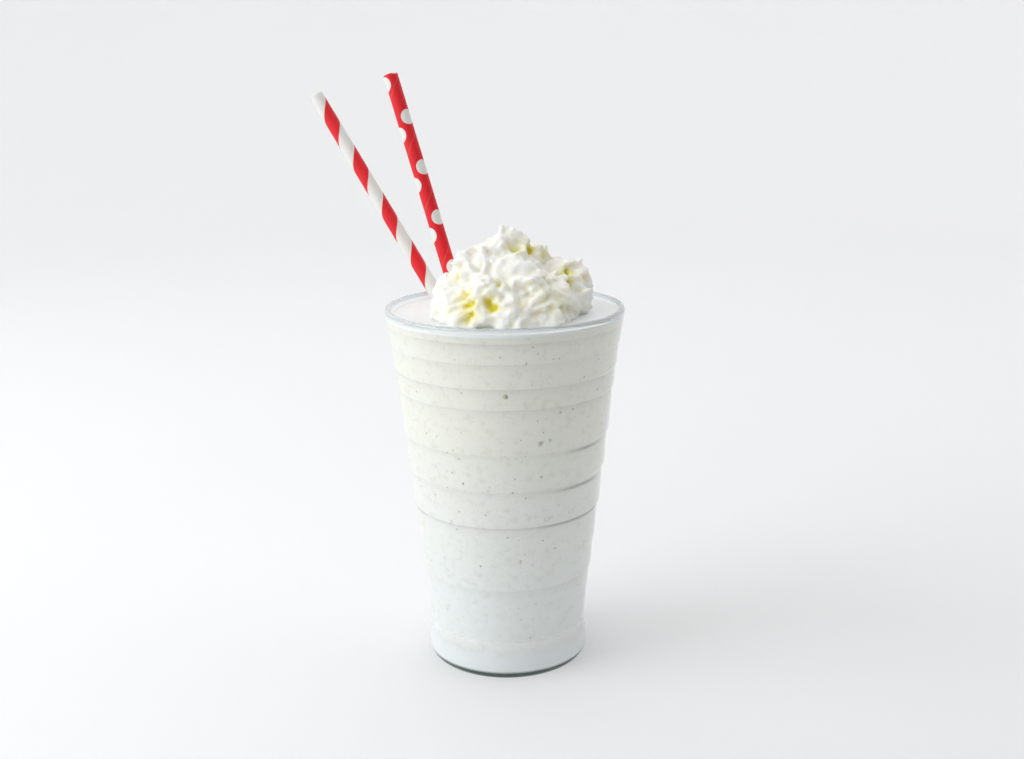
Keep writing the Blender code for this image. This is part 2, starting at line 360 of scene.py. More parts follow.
class Nodes:
    """A material's node tree, with short ways to add nodes and join them."""

    def __init__(self, name):
        self.material = bpy.data.materials.new(name)
        self.material.use_nodes = True
        self.tree = self.material.node_tree
        self.shader = self.tree.nodes["Principled BSDF"]
        self.output = self.tree.nodes["Material Output"]

    def join(self, socket, value):
        if isinstance(value, bpy.types.NodeSocket):
            self.tree.links.new(value, socket)
        else:
            socket.default_value = value

    def add(self, kind, output=0, inputs=None, **settings):
        node = self.tree.nodes.new("ShaderNode" + kind)
        for key, value in settings.items():
            setattr(node, key, value)
        for key, value in (inputs or {}).items():
            self.join(node.inputs[key], value)
        return node.outputs[output]

    def math(self, operation, first, second=0.0):
        return self.add("Math", inputs={0: first, 1: second}, operation=operation)

    def length(self, first, second):
        """The root of the sum of two squares."""
        squares = [self.math("MULTIPLY", value, value) for value in (first, second)]
        return self.math("SQRT", self.math("ADD", *squares))

    def smooth(self, value, low, high):
        """0 at low, 1 at high, and a soft step between. Either may be the larger."""
        inputs = {"Value": value, "From Min": low, "From Max": high}
        return self.add("MapRange", inputs=inputs, interpolation_type="SMOOTHSTEP")

    def spread(self, value, low, high):
        """Carries 0 to 1 over to low to high."""
        return self.add("MapRange", inputs={"Value": value, "To Min": low, "To Max": high})

    def mix(self, share, first, second):
        """The first colour at share 0 and the second at 1."""
        node = self.tree.nodes.new("ShaderNodeMix")
        node.data_type = "RGBA"
        for key, value in ((0, share), (6, first), (7, second)):
            if isinstance(value, tuple):
                value = (*value, 1.0)
            self.join(node.inputs[key], value)
        return node.outputs[2]

    def noise(self, place, size, detail, roughness=0.5):
        """Noise whose features measure about size, in metres."""
        inputs = {"Vector": place, "Scale": 1 / size, "Detail": detail, "Roughness": roughness}
        return self.add("TexNoise", inputs=inputs)

    def place(self):
        """The piece's own coordinates, in metres."""
        return self.add("TexCoord", output=3)

    def axes(self, place):
        node = self.tree.nodes.new("ShaderNodeSeparateXYZ")
        self.join(node.inputs[0], place)
        return node.outputs

    def attribute(self, name):
        return self.add("Attribute", output=2, attribute_name=name)

    def bump(self, height, depth, strength, under=None):
        """A normal for fine relief of that depth, over another one if it is given."""
        inputs = {"Height": height, "Distance": depth, "Strength": strength}
        if under is not None:
            inputs["Normal"] = under
        return self.add("Bump", inputs=inputs)

    def surface(self, **inputs):
        """Sets the main shader's inputs by name, with _ for a space."""
        for key, value in inputs.items():
            if isinstance(value, tuple) and len(value) == 3 and key != "Subsurface_Radius":
                value = (*value, 1.0)
            self.join(self.shader.inputs[key.replace("_", " ")], value)


def mesh_object(name, mesh, look):
    made = bpy.data.objects.new(name, mesh)
    bpy.context.scene.collection.objects.link(made)
    mesh.materials.append(look)
    return made


def carry(made, node=None):
    """Ties a finished piece to the part's body and the node it stands for."""
    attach(made, "root")
    if node:
        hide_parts(node)


def evaluated_mesh(made):
    """The object's mesh with its modifiers applied, which are then removed."""
    graph = bpy.context.evaluated_depsgraph_get()
    mesh = bpy.data.meshes.new_from_object(made.evaluated_get(graph))
    made.modifiers.clear()
    made.data = mesh
    return mesh


def arc(centre, radii, start, end, steps):
    """Points of an elliptical arc in the profile plane, from one angle to another."""
    turns = [start + (end - start) * i / steps for i in range(steps + 1)]
    return [(centre[0] + radii[0] * cos(turn), centre[1] + radii[1] * sin(turn)) for turn in turns]


def turned_mesh(name, profile, segments):
    """A mesh turned from (radius, height) points, closed where they start and end on the axis."""
    verts, rings = [], []
    turns = [2 * pi * i / segments for i in range(segments)]
    for radius, height in profile:
        if radius < ON_AXIS:
            rings.append([len(verts)] * segments)
            verts.append((0.0, 0.0, height))
            continue
        rings.append(list(range(len(verts), len(verts) + segments)))
        verts += [(radius * sin(turn), -radius * cos(turn), height) for turn in turns]
    faces = []
    for upper, lower in zip(rings, rings[1:]):
        for i in range(segments):
            j = (i + 1) % segments
            corners = [upper[i], lower[i], lower[j], upper[j]]
            faces.append(list(dict.fromkeys(corners)))
    mesh = bpy.data.meshes.new(name)
    mesh.from_pydata(verts, [], faces)
    bm = bmesh.new()
    bm.from_mesh(mesh)
    bmesh.ops.recalc_face_normals(bm, faces=bm.faces)
    bm.to_mesh(mesh)
    bm.free()
    mesh.shade_smooth()
    return mesh


def taper_radius(height):
    """The outer side's radius above the waist, without its steps."""
    radius = WAIST_RADIUS + TAPER * (min(height, FLARE_HEIGHT) - WAIST_HEIGHT)
    return radius + FLARE_TAPER * max(0.0, height - FLARE_HEIGHT)


def inner_radius(height):
    return taper_radius(height) - WALL


def corner_middle():
    """The middle of the round corner between the inner wall and the glass's floor."""
    return inner_radius(CORNER_TOP) - FLOOR_CORNER, CORNER_TOP


def on_wall(angle, height, radius):
    """A point at an angle in degrees, a height and a radius."""
    turn = radians(angle)
    return Vector((radius * sin(turn), -radius * cos(turn), height))


# Glass

def eased(low, high, steps):
    """Points from the high (radius, height, slope) down to the low one along a smooth curve."""
    points = []
    low_radius, low_height, low_slope = low
    high_radius, high_height, high_slope = high
    rise = high_height - low_height
    for i in range(steps + 1):
        t = 1 - i / steps
        radius = (2 * t ** 3 - 3 * t * t + 1) * low_radius + (t ** 3 - 2 * t * t + t) * rise * low_slope
        radius += (3 * t * t - 2 * t ** 3) * high_radius + (t ** 3 - t * t) * rise * high_slope
        points.append((radius, low_height + rise * t))
    return points


def with_stops(profile):
    """Adds a point near both ends of each long straight part, so that its shading stays straight."""
    points = [profile[0]]
    for (r1, z1), (r2, z2) in zip(profile, profile[1:]):
        length = sqrt((r2 - r1) ** 2 + (z2 - z1) ** 2)
        if length > 3 * STOP_GAP:
            for share in (STOP_GAP / length, 1 - STOP_GAP / length):
                points.append((r1 + (r2 - r1) * share, z1 + (z2 - z1) * share))
        points.append((r2, z2))
    return points


def ledge(height, rise):
    """One step of the outer side, from above it to below it, as a rounded ledge."""
    points = []
    for i in range(STEP_POINTS + 1):
        down = i / STEP_POINTS
        swing = 1 - 2 * (down * down * (3 - 2 * down))
        place = height + STEP_HEIGHT * (0.5 - down)
        points.append((taper_radius(place) + rise * swing, place))
    return points


def glass_profile():
    """From the middle of the inner floor, up the inside, over the lip and down to the foot's middle."""
    lip_middle = RIM_RADIUS - LIP_EDGE_RADIUS
    lip_inside = inner_radius(GLASS_HEIGHT) + LIP_EDGE_RADIUS
    lip_height = GLASS_HEIGHT - LIP_EDGE_RADIUS
    corner = corner_middle()
    edge = (LIP_EDGE_RADIUS, LIP_EDGE_RADIUS)
    heel_round = (HEEL_RADIUS - FOOT_RADIUS, HEEL_HEIGHT)

    profile = [(0.0, FLOOR_HEIGHT), (corner[0] / 2, FLOOR_HEIGHT)]
    profile += arc(corner, (FLOOR_CORNER, FLOOR_CORNER), -pi / 2, 0.0, CORNER_STEPS)
    for share in (0.35, 0.7, 1.0):
        height = CORNER_TOP + (FLARE_HEIGHT - CORNER_TOP) * share
        profile.append((inner_radius(height), height))
    profile.append((inner_radius(LEVEL + MM), LEVEL + MM))
    profile += arc((lip_inside, lip_height), edge, pi, pi / 2, steps=8)
    profile += arc((lip_middle, lip_height), edge, pi / 2, -LIP_TURN_UNDER, steps=9)
    for depth, rise in STEPS:
        profile += ledge(GLASS_HEIGHT - depth * MM, rise * MM)
    waist_top = (taper_radius(WAIST_TOP_HEIGHT), WAIST_TOP_HEIGHT, TAPER)
    heel_top = (HEEL_TOP_RADIUS, HEEL_TOP_HEIGHT, HEEL_TOP_SLOPE)
    profile += eased(heel_top, waist_top, steps=12)
    profile += eased((HEEL_RADIUS, HEEL_HEIGHT, 0.0), heel_top, steps=6)[1:-1]
    profile += arc((FOOT_RADIUS, HEEL_HEIGHT), heel_round, 0.0, -pi / 2, CORNER_STEPS)
    profile += [(FOOT_RADIUS / 2, 0.0), (0.0, 0.0)]
    return with_stops(profile)


def milk_tones(nodes, place, height):
    """The drink's colour, warm at the top and cooler below, finely mottled, and its cloudiness."""
    colour = nodes.mix(nodes.smooth(height, *COOLING), MILK_WARM, MILK_COOL)
    cloud = nodes.noise(place, 16 * MM, detail=3.0)
    colour = nodes.mix(nodes.spread(cloud, 0.0, 0.22), colour, MILK_CLOUD)
    fine = nodes.smooth(nodes.noise(place, 0.9 * MM, detail=3.0, roughness=0.7), 0.50, 0.78)
    colour = nodes.mix(nodes.spread(fine, 0.0, 0.22), colour, MILK_GRAIN)
    mottle = nodes.smooth(nodes.noise(place, 3.2 * MM, detail=4.0, roughness=0.65), 0.50, 0.72)
    colour = nodes.mix(nodes.spread(mottle, 0.0, 0.30), colour, MILK_MOTTLE)
    return colour, cloud


def glass_look():
    """Clear glass with a milky thick base painted with the drink's tones and bluish painted light, for the
    drink and light seen through it, a faintly milky lip with painted grey-blue shade, and a painted dark
    shade line at the foot.

    Shadow and diffuse rays pass it, so that light reaches the drink without caustics.
    """
    nodes = Nodes("clear_glass")
    place = nodes.place()
    waves = nodes.noise(place, 14 * MM, detail=1.0)
    prints = nodes.noise(place, 5 * MM, detail=4.0, roughness=0.6)
    height = nodes.axes(place)[2]
    # Painted drink tones and bluish painted light on the milky thick base and its faint haze, for the drink
    # and light seen through the glass.
    haze = nodes.math("MULTIPLY", nodes.smooth(height, *PAINTED_HAZE), HAZE_SHARE)
    base = nodes.math("MAXIMUM", haze, nodes.smooth(height, *PAINTED_BASE))
    lip = nodes.smooth(height, *PAINTED_LIP)
    prints = nodes.math("SUBTRACT", nodes.smooth(prints, 0.45, 0.75), lip)
    rough = nodes.spread(prints, 0.0, 0.05)
    clear = nodes.math("MULTIPLY", nodes.spread(base, 1.0, BASE_CLARITY), nodes.spread(lip, 1.0, LIP_CLARITY))
    milk, _ = milk_tones(nodes, place, height)
    milk = nodes.mix(nodes.smooth(height, *BLUE_BASE_LIGHT), milk, BASE_LIGHT_TONE)
    colour = nodes.mix(base, GLASS_CLEAR, milk)
    # Painted grey-blue shade at the lip.
    colour = nodes.mix(lip, colour, LIP_SHADE_TONE)
    # Painted shade: a dark green line at the foot, for the contact shadow and dark refraction there.
    colour = nodes.mix(nodes.smooth(height, *FOOT_SHADE_SPAN), colour, FOOT_SHADE_TONE)
    nodes.surface(Base_Color=colour, Roughness=rough, IOR=1.5, Transmission_Weight=clear,
                  Normal=nodes.bump(waves, 0.25 * MM, 0.25))
    path = nodes.tree.nodes.new("ShaderNodeLightPath")
    passing = nodes.math("MAXIMUM", path.outputs["Is Shadow Ray"], path.outputs["Is Diffuse Ray"])
    open_way = nodes.add("BsdfTransparent")
    both = nodes.add("MixShader", inputs={0: passing, 1: nodes.shader.outputs[0], 2: open_way})
    nodes.join(nodes.output.inputs["Surface"], both)
    tint = nodes.add("VolumeAbsorption", inputs={"Color": GLASS_TINT, "Density": TINT_DENSITY})
    nodes.join(nodes.output.inputs["Volume"], tint)
    return nodes.material


def make_glass():
    mesh = turned_mesh("glass_clear", glass_profile(), GLASS_SEGMENTS)
    carry(mesh_object("glass_clear", mesh, glass_look()), "glass")


# Drink

def line_strength(spans, angle):
    """How dark a painted line is at an angle: the strongest of its spans, which fade at their ends."""
    best = 0.0
    for start, end, strength in spans:
        for turn in (-360, 0, 360):
            inside = min(angle + turn - start, end - angle - turn)
            if end - start >= 360:
                inside = LINE_FADE
            best = max(best, strength * min(1.0, max(0.0, inside / LINE_FADE + 0.5)))
    return best


def drink_rows():
    """Heights down the drink's side, close together at the lines and where the shades start."""
    top = LEVEL + MENISCUS_RISE
    count = round((top - CORNER_TOP) / DRINK_ROW)
    rows = {round(top - (top - CORNER_TOP) * i / count, 6) for i in range(count + 1)}
    for height, _ in WALL_SHADES:
        if height < LEVEL - MM:
            rows |= {height + SHADE_START * side for side in (-2, -1, 0, 1)}
    for height, _ in PAINTED_WALL_LINES:
        rows = {row for row in rows if abs(row - height) > LINE_REACH}
        rows |= {round(height + LINE_ROW * i, 6) for i in range(-LINE_ROWS, LINE_ROWS + 1)}
    return sorted(rows, reverse=True)


def drink_profile():
    """From the middle of the top, over the raised edge and down the wall to the middle below."""
    radius = inner_radius(LEVEL) - MENISCUS_WIDTH
    profile = [(radius * (i / TOP_RINGS), LEVEL) for i in range(TOP_RINGS + 1)]
    for share in (0.3, 0.55, 0.75, 0.9):
        profile.append((radius + MENISCUS_WIDTH * share, LEVEL + MENISCUS_RISE * share * share))
    profile += [(inner_radius(height) + INTO_WALL, height) for height in drink_rows()]
    corner = corner_middle()
    reach = FLOOR_CORNER + INTO_WALL
    profile += arc(corner, (reach, reach), 0.0, -pi / 2, CORNER_STEPS)[1:]
    profile += [(corner[0] * share, FLOOR_HEIGHT - INTO_WALL) for share in (2 / 3, 1 / 3, 0.0)]
    return profile


def painted_line_at(angle, z):
    """How dark the wandering painted lines are at an angle and a height."""
    dark = 0.0
    for height, spans in PAINTED_WALL_LINES:
        if abs(z - height) > LINE_REACH + TINY:
            continue
        wander = LINE_WANDER * noise.noise(Vector((angle / LINE_WANDER_ANGLE, height / MM, 0.3)))
        near = np.exp(-((z - height - wander) / LINE_WIDTH) ** 2)
        dark = max(dark, near * line_strength(spans, angle))
    return dark


def shade_at(x, y, z):
    """How deep the patchy shade below the steps is at a point."""
    total = 0.0
    for height, share in WALL_SHADES:
        below = height - z
        patch = 0.75 + 0.5 * noise.noise(Vector((x, y, height)) / SHADE_PATCH)
        rise = min(1.0, max(0.0, below / SHADE_START + 1))
        total += share * patch * rise * np.exp(-max(0.0, below) / SHADE_FALL)
    return total


def shape_drink(mesh):
    """Gives the top soft ripples and the side its shallow grooves, and notes each point's painted line and
    painted shade.
    """
    lines, shades = [], []
    for vert in mesh.vertices:
        x, y, z = vert.co
        radius = sqrt(x * x + y * y)
        line, shade = 0.0, 0.0
        if z > LEVEL - TINY and radius < inner_radius(LEVEL) - MENISCUS_WIDTH:
            for size, height, shift in RIPPLES:
                vert.co.z += height * noise.noise(Vector((x, y, shift)) / size)
        elif radius > MM:
            line = painted_line_at(np.degrees(np.arctan2(x, -y)), z)
            shade = shade_at(x, y, z)
            shrink = 1 - LINE_DEPTH * line / radius
            vert.co.x *= shrink
            vert.co.y *= shrink
        lines.append(line)
        shades.append(shade)
    mesh.attributes.new("line", "FLOAT", "POINT").data.foreach_set("value", lines)
    mesh.attributes.new("shade", "FLOAT", "POINT").data.foreach_set("value", shades)


def drink_look():
    """Thick vanilla milkshake with tiny bubbles, with painted shade in their pits, painted dark lines and
    painted shade below the steps at the wall, and painted light on the top.
    """
    nodes = Nodes("milkshake")
    place = nodes.place()
    height = nodes.axes(place)[2]
    colour, cloud = milk_tones(nodes, place, height)
    froth = nodes.add("TexVoronoi", inputs={"Vector": place, "Scale": 1 / (2.2 * MM), "Randomness": 1.0})
    bubble = nodes.math("SUBTRACT", 1.0, nodes.smooth(froth, 0.05, 0.16))
    # Painted shade in the tiny bubble pits.
    colour = nodes.mix(nodes.math("MULTIPLY", bubble, 0.20), colour, MILK_PIT_SHADE)
    colour = nodes.mix(nodes.attribute("shade"), colour, MILK_SHADE)
    # Painted dark lines at the steps, for the dark refraction there.
    colour = nodes.mix(nodes.attribute("line"), colour, MILK_PAINTED_LINE)
    # Painted light: the top surface is whiter and bluer than the side.
    top = nodes.smooth(height, LEVEL - 1.2 * MM, LEVEL - 0.3 * MM)
    colour = nodes.mix(top, colour, MILK_TOP_LIGHT)
    rough = nodes.spread(cloud, 0.28, 0.45)
    low = nodes.bump(nodes.noise(place, 3.5 * MM, detail=2.0), 0.25 * MM, 0.5)
    nodes.surface(Base_Color=colour, Roughness=rough, IOR=1.36, Subsurface_Weight=0.25,
                  Subsurface_Radius=(1.0, 0.9, 0.7), Subsurface_Scale=1.2 * MM,
                  Normal=nodes.bump(bubble, -0.2 * MM, 0.5, under=low))
    return nodes.material


def make_drink():
    mesh = turned_mesh("milkshake_body", drink_profile(), DRINK_SEGMENTS)
    shape_drink(mesh)
    mesh.update()
    carry(mesh_object("milkshake_body", mesh, drink_look()), "milkshake")


# Specks and bubbles in the drink

def scattered(name, shapes, look):
    """One mesh of many small closed shapes, each given as a matrix and a bmesh maker."""
    bm = bmesh.new()
    for matrix, make in shapes:
        make(bm, matrix)
    mesh = bpy.data.meshes.new(name)
    bm.to_mesh(mesh)
    bm.free()
    mesh.shade_smooth()
    return mesh_object(name, mesh, look)


def grain(bm, matrix):
    bmesh.ops.create_icosphere(bm, subdivisions=1, radius=1.0, matrix=matrix)


def wall_matrix(angle, height, radius, turn, scale):
    """Places a shape on the wall: its X runs round, its Y up, and its Z out, after its own turn."""
    out = on_wall(angle, 0.0, 1.0)
    around = Vector((cos(radians(angle)), sin(radians(angle)), 0.0))
    axes = Matrix((around, Vector((0, 0, 1)), out)).transposed().to_4x4()
    move = Matrix.Translation(on_wall(angle, height, radius))
    return move @ axes @ Matrix.Rotation(turn, 4, "Z") @ Matrix.Diagonal((*scale, 1.0))


def make_specks():
    """Vanilla specks just at the drink's side, in loose crowds, with more of them towards the top."""
    rng = np.random.default_rng(12)
    shapes = []
    places = [(angle, height * MM, size * MM) for angle, height, size in BIG_SPECKS]
    while len(places) < SPECKS:
        angle = rng.uniform(-180, 180)
        height = rng.uniform(*SPECK_HEIGHTS)
        turn = radians(angle)
        crowd = 0.45 + 0.55 * noise.noise(Vector((sin(turn) * 2, cos(turn) * 2, height * 22)))
        if rng.random() < crowd * (0.35 + 0.65 * height / GLASS_HEIGHT):
            size = SPECK_SIZES[0] + (SPECK_SIZES[1] - SPECK_SIZES[0]) * rng.random() ** 3
            places.append((angle, height, size))
    for angle, height, size in places:
        stretch = rng.uniform(*SPECK_STRETCH)
        scale = (size, size * stretch, min(size * 0.5, SPECK_THICKNESS))
        radius = inner_radius(height) + INTO_WALL
        shapes.append((wall_matrix(angle, height, radius, rng.uniform(0, pi), scale), grain))
    nodes = Nodes("vanilla_specks")
    tone = nodes.noise(nodes.place(), 4 * MM, detail=1.0)
    colour = nodes.mix(nodes.smooth(tone, 0.35, 0.65), SPECK_DARK, SPECK_PALE)
    nodes.surface(Base_Color=colour, Roughness=nodes.spread(tone, 0.5, 0.8))
    carry(scattered("vanilla_specks", shapes, nodes.material))


def bubble_ring(bm, matrix):
    """A thin uneven ring of painted shade, the dark edge of a bubble that lies flat on the wall."""
    width = BUBBLE_WIRE / matrix.to_scale().x
    rings = []
    for i in range(BUBBLE_STEPS):
        turn = 2 * pi * i / BUBBLE_STEPS
        reach = 1 + 0.10 * sin(2 * turn) + 0.05 * sin(5 * turn)
        ring = []
        for j in range(WIRE_STEPS):
            tilt = 2 * pi * j / WIRE_STEPS
            out = reach + width * cos(tilt)
            spot = Vector((out * cos(turn), out * sin(turn), width * sin(tilt)))
            ring.append(bm.verts.new(matrix @ spot))
        rings.append(ring)
    for i in range(BUBBLE_STEPS):
        here, after = rings[i], rings[(i + 1) % BUBBLE_STEPS]
        for j in range(WIRE_STEPS):
            k = (j + 1) % WIRE_STEPS
            bm.faces.new((here[j], after[j], after[k], here[k]))


def make_bubbles():
    """Rings of painted shade: the dark edges of a few larger bubbles that touch the wall."""
    rng = np.random.default_rng(5)
    shapes = []
    for angle, height, radius in BUBBLES:
        scale = (radius * MM,) * 3
        wall = inner_radius(height * MM) + INTO_WALL
        shapes.append((wall_matrix(angle, height * MM, wall, rng.uniform(0, pi), scale), bubble_ring))
    nodes = Nodes("bubble_edge_shade")
    tone = nodes.noise(nodes.place(), 1 * MM, detail=1.0)
    # Painted shade for the bubbles' dark edges.
    colour = nodes.mix(tone, BUBBLE_SHADE_DARK, BUBBLE_SHADE_PALE)
    nodes.surface(Base_Color=colour, Roughness=nodes.spread(tone, 0.2, 0.4))
    carry(scattered("wall_bubbles", shapes, nodes.material))


# Straws

def straw_mesh(name):
    """A paper tube along Z that ends at the origin, with the low ridge of its wound edge.

    All but the ridge lies a seam's depth further in, so that the ridge is at the straw's radius.
    """
    rows = round(STRAW_LENGTH / STRAW_ROW)
    outside = STRAW_RADIUS
    inside = STRAW_RADIUS - STRAW_WALL
    heights = [-STRAW_BEVEL - (STRAW_LENGTH - 2 * STRAW_BEVEL) * i / rows for i in range(rows + 1)]
    profile = [(inside + STRAW_BEVEL, 0.0), (outside - STRAW_BEVEL, 0.0)]
    profile += [(outside, height) for height in heights]
    profile += [(outside - STRAW_BEVEL, -STRAW_LENGTH), (inside + STRAW_BEVEL, -STRAW_LENGTH)]
    profile += [(inside, height) for height in reversed(heights)]
    bm = bmesh.new()
    rings = []
    for radius, height in profile:
        ring = []
        for i in range(STRAW_SEGMENTS):
            turn = 2 * pi * i / STRAW_SEGMENTS
            wound = (-height / STRIPE_PITCH + turn / (2 * pi) + SEAM_SHIFT) % 1.0
            lift = SEAM_DEPTH * max(0.0, 1 - wound / SEAM_SHARE) if radius == outside else 0.0
            reach = radius - SEAM_DEPTH + lift
            ring.append(bm.verts.new((reach * cos(turn), reach * sin(turn), height)))
        rings.append(ring)
    for k, ring in enumerate(rings):
        after = rings[(k + 1) % len(rings)]
        for i in range(STRAW_SEGMENTS):
            j = (i + 1) % STRAW_SEGMENTS
            bm.faces.new((ring[i], after[i], after[j], ring[j]))
    bmesh.ops.recalc_face_normals(bm, faces=bm.faces)
    mesh = bpy.data.meshes.new(name)
    bm.to_mesh(mesh)
    bm.free()
    mesh.shade_smooth()
    mesh.set_sharp_from_angle(angle=radians(50))
    return mesh


def straw_angles(nodes, matrix):
    """Depth below the top, turns from the side that faces the camera, and radius, as sockets."""
    facing = matrix.to_3x3().inverted() @ (Vector(CAMERA_PLACE) - matrix.translation)
    x, y, z = nodes.axes(nodes.place())
    depth = nodes.math("MULTIPLY", z, -1.0)
    angle = nodes.math("ARCTAN2", y, x)
    front = float(np.arctan2(facing.y, facing.x))
    turns = nodes.math("DIVIDE", nodes.math("SUBTRACT", angle, front), 2 * pi)
    return depth, turns, nodes.length(x, y)


def stripe_pattern(nodes, depth, turns):
    """1 on the red spiral stripe. The ping-pong is the distance to the nearest stripe's middle."""
    along = nodes.math("DIVIDE", nodes.math("SUBTRACT", depth, STRIPE_START), STRIPE_PITCH)
    away = nodes.math("PINGPONG", nodes.math("ADD", along, turns), 0.5)
    edge = (STRIPE_SHARE / 2 - STRIPE_EDGE, STRIPE_SHARE / 2 + STRIPE_EDGE)
    return nodes.math("SUBTRACT", 1.0, nodes.smooth(away, *edge))


def dot_pattern(nodes, depth, turns):
    """0 on the white dots, which stand in three columns, each shifted along the straw."""
    nearest = None
    for column, start in DOT_COLUMNS:
        round_share = nodes.math("PINGPONG", nodes.math("SUBTRACT", turns, column / 360), 0.5)
        around = nodes.math("MULTIPLY", round_share, 2 * pi * STRAW_RADIUS)
        along_share = nodes.math("DIVIDE", nodes.math("SUBTRACT", depth, start), DOT_PITCH)
        along = nodes.math("MULTIPLY", nodes.math("PINGPONG", along_share, 0.5), DOT_PITCH)
        away = nodes.length(around, along)
        nearest = away if nearest is None else nodes.math("MINIMUM", nearest, away)
    return nodes.smooth(nearest, DOT_RADIUS - DOT_EDGE, DOT_RADIUS + DOT_EDGE)


def straw_look(name, matrix, pattern, red):
    """Matte printed paper: fibres, a wound seam, and bare paper at the cut end and inside."""
    nodes = Nodes(name)
    depth, turns, radius = straw_angles(nodes, matrix)
    outside = nodes.smooth(radius, STRAW_RADIUS - PRINT_SKIN[0], STRAW_RADIUS - PRINT_SKIN[1])
    printed = nodes.math("MULTIPLY", pattern(nodes, depth, turns), outside)
    place = nodes.place()
    fibres = nodes.noise(place, 0.5 * MM, detail=4.0, roughness=0.65)
    cloud = nodes.noise(place, 5 * MM, detail=2.0)
    paper = nodes.mix(nodes.spread(fibres, 0.0, 0.35), PAPER_PALE, PAPER_FIBRE)
    ink = nodes.mix(nodes.spread(cloud, 0.0, 0.5), red, tuple(channel * INK_SHADE for channel in red))
    wear = nodes.math("MULTIPLY", nodes.smooth(fibres, 0.60, 0.75), 0.12)
    ink = nodes.mix(wear, ink, INK_WORN)
    colour = nodes.mix(printed, paper, ink)
    wound = nodes.math("ADD", nodes.math("DIVIDE", depth, STRIPE_PITCH), turns)
    away = nodes.math("PINGPONG", nodes.math("ADD", wound, SEAM_LINE_SHIFT), 0.5)
    seam = nodes.math("MULTIPLY", nodes.smooth(away, *SEAM_LINE), 0.35)
    colour = nodes.mix(seam, colour, SEAM_TONE)
    nodes.surface(Base_Color=colour, Roughness=nodes.spread(fibres, 0.42, 0.62), IOR=1.38,
                  Subsurface_Weight=0.08, Subsurface_Radius=(1.0, 0.5, 0.4), Subsurface_Scale=0.4 * MM,
                  Normal=nodes.bump(fibres, 0.03 * MM, 0.6))
    return nodes.material


def make_straw(node, through, top, pattern, red, slot):
    """A straw whose axis runs from its top down through a point, both in millimetres."""
    top = Vector(top) * MM
    direction = (top - Vector(through) * MM).normalized()
    matrix = Matrix.Translation(top) @ direction.to_track_quat("Z", "Y").to_matrix().to_4x4()
    look = straw_look(slot, matrix, pattern, red)
    made = mesh_object(node + "_paper", straw_mesh(node + "_paper"), look)
    made.matrix_world = matrix
    carry(made, node)


# Whipped cream

def crag(point):
    """Ridged noise, below 0 in the pits and up to about 0.8 on the crests."""
    total = 0.0
    size, weight = CRAG_SIZE, 1.0
    for _ in range(CRAG_OCTAVES):
        total += weight * (CRAG_CREST - CRAG_SLOPE * abs(noise.noise(point / size + CRAG_SEED)))
        size, weight = size / 2, weight / 2
    return total


def lobe_reach(directions):
    """How far the lobes reach from the cream's heart in each direction."""
    total = np.zeros(len(directions))
    for middle, radius in CREAM_LOBES:
        offset = np.array(middle) - np.array(CREAM_HEART) / MM
        along = directions @ offset
        inside = radius * radius - offset @ offset + along * along
        reach = np.where(inside > 0, along + np.sqrt(np.maximum(inside, 0.0)), 0.0)
        total += np.maximum(reach, 0.0) ** CREAM_SHARPNESS
    return total ** (1 / CREAM_SHARPNESS) * MM


def all_hollows():
    """The hollows seen in front, and others like them at random round the back."""
    rng = np.random.default_rng(31)
    hollows = [(np.array(place) * MM, radius * MM, depth * MM, yellow)
               for place, radius, depth, yellow in CREAM_HOLLOWS]
    for _ in range(BACK_HOLLOWS):
        turn = rng.uniform(*BACK_TURN) * pi
        rise = rng.uniform(*BACK_RISE)
        direction = np.array([[cos(turn) * cos(rise), sin(turn) * cos(rise), sin(rise)]])
        place = np.array(CREAM_HEART) + direction[0] * lobe_reach(direction)[0]
        radius = rng.uniform(*BACK_RADII) * MM
        depth = rng.uniform(*BACK_DEPTHS) * MM
        hollows.append((place, radius, depth, rng.uniform(*BACK_YELLOW)))
    return hollows


def cream_base(bm, hollows):
    """The craggy dollop from its heart out, with the hollows pressed in."""
    bmesh.ops.create_icosphere(bm, subdivisions=CREAM_ROUNDS, radius=1.0)
    directions = np.array([vert.co.normalized() for vert in bm.verts])
    heart = np.array(CREAM_HEART)
    reaches = lobe_reach(directions)
    places = heart + directions * reaches[:, None]
    press = np.zeros(len(places))
    for place, radius, depth, _ in hollows:
        away = np.linalg.norm(places - place, axis=1) / radius
        press = np.maximum(press, depth * np.exp(-away ** 2))
    for vert, direction, place, reach, pressed in zip(bm.verts, directions, places, reaches, press):
        spot = Vector(place)
        reach += CRAG_DEPTH * crag(spot) - pressed
        if direction[2] < 0:
            reach = min(reach, (-CREAM_SINK - CREAM_HEART.z) / direction[2])
        vert.co = CREAM_HEART + Vector(direction) * reach


def add_ball(bm, middle, radius, stretch=(1, 1, 1), turn=None):
    """A ball, stretched and turned if asked, and warped a little so that no two are alike."""
    matrix = Matrix.Translation(middle)
    if turn is not None:
        matrix = matrix @ turn.to_matrix().to_4x4()
    matrix = matrix @ Matrix.Diagonal((*(radius * s for s in stretch), 1.0))
    made = bmesh.ops.create_icosphere(bm, subdivisions=3, radius=1.0)
    for vert in made["verts"]:
        warp = 1 + BALL_WARP * noise.noise(vert.co * BALL_WARP_SCALE + middle / MM)
        vert.co = matrix @ (vert.co * warp)


def cream_ridges(bm):
    """Ridges as chains of balls close together along each run of points."""
    for chain in CREAM_RIDGES:
        for first, second in zip(chain, chain[1:]):
            for i in range(RIDGE_BALLS):
                x, y, z, radius = (a + (b - a) * i / RIDGE_BALLS for a, b in zip(first, second))
                add_ball(bm, Vector((x, y, z)) * MM, radius * MM)


